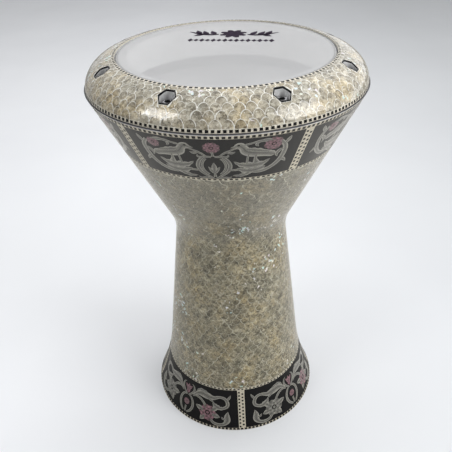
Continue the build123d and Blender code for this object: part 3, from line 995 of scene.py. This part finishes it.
# ---------------------------------------------------------------- head print
class FilmPrint(Panel):
    """The print's own flat millimetres, placed on the film."""

    def __init__(self):
        self.cos, self.sin = math.cos(PRINT_TURN), math.sin(PRINT_TURN)
        self.film_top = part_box("drumhead_film")[1].z

    def place(self, flat):
        x, y = flat[:, 0] * PRINT_SIZE, flat[:, 1] * PRINT_SIZE
        across = PRINT_PLACE[0] + x * self.cos - y * self.sin
        back = PRINT_PLACE[1] + x * self.sin + y * self.cos
        height = self.film_top + np.where(flat[:, 2] > 0, PRINT_HEIGHT, 0.0)
        return np.c_[across * MM, back * MM, height]

    def lozenge(self, drawing, x, y, half_wide, half_high):
        shape = [(x - half_wide, y), (x, y - half_high), (x + half_wide, y), (x, y + half_high)]
        points, faces = plate(shape, 1.0, 1.0)
        drawing.add(self.place(points), faces)


class InPlace:
    """Stands in for an outline where the points already are in place."""

    def wrap(self, points):
        return points


def draw_head_print():
    """A flower between two leafy sprigs, over a row of lozenges."""
    drawing, panel = Drawing(), FilmPrint()
    panel.bloom(drawing, 0.0, 7.0, 12.0, 8, dip=0.34)
    leaves = ((15, 4.8, 5.0, 10.5), (21.5, 4.2, 5.5, 11.0), (28, 6.0, 5.0, 10.5), (25, 4.4, 8.5, -4.8))
    for side in (-1, 1):
        panel.side = side
        panel.ribbon(drawing, (12.5, 5.0, 1.2), (19.0, 3.6, 2.0), (28.0, 5.4, 1.9), (39.0, 12.4, 0.5))
        for x, y, dx, dy in leaves:
            middle = (x + 0.5 * dx, y + 0.4 * dy, 2.6)
            panel.ribbon(drawing, (x, y, 0.5), middle, (x + dx, y + dy, 0.2))
    for k in range(-7, 8):
        panel.lozenge(drawing, 4.9 * k, -13.0, 2.35, 4.6 if k % 2 else 3.4)
    drawing.build("head_print", InPlace(), "head", ink, "film")


draw_head_print()


# ---------------------------------------------------------------- camera, light and stage
# The camera's place and heading were solved from the ellipses that the photo shows
CAMERA_REACH = 0.5485
CAMERA_HEIGHT = 0.6120
CAMERA_AZIMUTH = 1.1  # degrees, as the next three
CAMERA_HEADING = 1.72
CAMERA_TILT = 33.96
CAMERA_ROLL = -2.05
LENS = 44.45
SENSOR = 36.0

AIM = (0, 0, 0.3)

# Strength of the sky
FRONT_SKY = 0.10
BACK_SKY = 0.95
LOW_BACK = 0.80  # share of the back's strength that is left near the horizon
HORIZON_SKY = 0.30
LEFT_SHARE = 0.42
RIGHT_SHARE = 1.22

FLOOR_HALF = 6.0
PAPER_MIRRORED = 0.65  # how much of the paper the lacquer mirrors
PAPER_GLOW = 0.10  # painted light: the paper glows faintly to the camera, so it stays pale where the lamps don't reach


def add_camera():
    data = bpy.data.cameras.new("camera")
    data.sensor_width = SENSOR
    data.lens = LENS
    camera = bpy.data.objects.new("camera", data)
    bpy.context.scene.collection.objects.link(camera)
    azimuth = math.radians(CAMERA_AZIMUTH)
    x, y = CAMERA_REACH * math.sin(azimuth), -CAMERA_REACH * math.cos(azimuth)
    heading = Matrix.Rotation(math.radians(CAMERA_HEADING), 4, "Z")
    tilt = Matrix.Rotation(math.radians(90 - CAMERA_TILT), 4, "X")
    roll = Matrix.Rotation(math.radians(CAMERA_ROLL), 4, "Z")
    camera.matrix_world = Matrix.Translation((x, y, CAMERA_HEIGHT)) @ heading @ tilt @ roll
    bpy.context.scene.camera = camera


def area_light(name, place, size, power, mirrored=True, lighting=True):
    """A rectangular lamp that faces the drum."""
    data = bpy.data.lights.new(name, "AREA")
    data.shape = "RECTANGLE"
    data.size, data.size_y = size
    data.energy = power
    lamp = bpy.data.objects.new(name, data)
    bpy.context.scene.collection.objects.link(lamp)
    facing = (Vector(AIM) - Vector(place)).to_track_quat("-Z", "Y").to_matrix().to_4x4()
    lamp.matrix_world = Matrix.Translation(place) @ facing
    lamp.visible_glossy = mirrored
    lamp.visible_diffuse = lighting


def studio_sky():
    """A plain sky: bright behind the drum, dim in front, and darker to the left."""
    world = bpy.data.worlds.new("studio")
    world.use_nodes = True
    sky = Nodes(world.node_tree)
    way = sky.node("TexCoord").outputs["Generated"]
    x, y, z = sky.node("SeparateXYZ", {"Vector": way}).outputs
    back = sky.graded(y, -0.35, 0.65, FRONT_SKY, BACK_SKY, "SMOOTHSTEP")
    back = sky.math("MULTIPLY", back, sky.graded(z, 0.25, 0.70, LOW_BACK, 1.0))
    horizon = sky.graded(z, 0.0, 0.30, HORIZON_SKY, 0.0, "SMOOTHSTEP")
    sideways = sky.graded(x, -0.8, 0.8, LEFT_SHARE, RIGHT_SHARE)
    background = world.node_tree.nodes["Background"]
    background.inputs["Color"].default_value = (0.97, 0.98, 1.0, 1)
    strength = sky.math("MULTIPLY", sky.math("ADD", back, horizon), sideways)
    sky.feed(background.inputs["Strength"], strength)
    return world


def add_floor():
    """A plain pale paper under the drum, that lacquer mirrors dimly; to the camera alone it greys to
    the right as painted shade and glows faintly as painted light.
    """
    mesh = bpy.data.meshes.new("floor")
    square = [(-1, -1, 0), (1, -1, 0), (1, 1, 0), (-1, 1, 0)]
    mesh.from_pydata([Vector(corner) * FLOOR_HALF for corner in square], [], [(0, 1, 2, 3)])
    floor = bpy.data.objects.new("floor", mesh)
    bpy.context.scene.collection.objects.link(floor)
    m = Shader("floor_paper", Roughness=0.8, Emission_Color=(1, 1, 1, 1))
    paper = m.ramp(m.noise(2.0), [(0.3, (0.84, 0.845, 0.855)), (0.7, (0.90, 0.905, 0.91))])
    rays = m.node("LightPath").outputs
    # Painted shade: to the camera the paper darkens to the right, as if the light fell off
    rightwards = m.graded(m.coordinates()[0], -0.3, 0.7)
    shade = m.mix(rightwards, (0.88, 0.89, 0.91), (0.62, 0.635, 0.65))
    seen = m.mix(rays["Is Camera Ray"], paper, m.mix(1.0, paper, shade, "MULTIPLY"))
    mirrored = shaded((0.92, 0.90, 0.85), PAPER_MIRRORED)
    m.set("Base Color", m.mix(rays["Is Glossy Ray"], seen, mirrored))
    # Painted light: the paper glows faintly to the camera
    m.set("Emission Strength", m.math("MULTIPLY", rays["Is Camera Ray"], PAPER_GLOW))
    mesh.materials.append(m.material)


add_camera()
area_light("key_left", (-1.28, -0.85, 1.4), (0.60, 0.40), 5.5, mirrored=False)
area_light("left_pane", (-1.26, -0.83, 1.38), (0.68, 0.85), 12.5, lighting=False)
area_light("key_right", (1.35, -0.75, 1.2), (1.1, 1.2), 19.0)
area_light("top", (0.1, 0.5, 1.9), (2.4, 2.2), 28.5, mirrored=False)
bpy.context.scene.world = studio_sky()
add_floor()
bpy.context.scene.view_settings.view_transform = "Standard"
bpy.context.scene.cycles.use_denoising = True
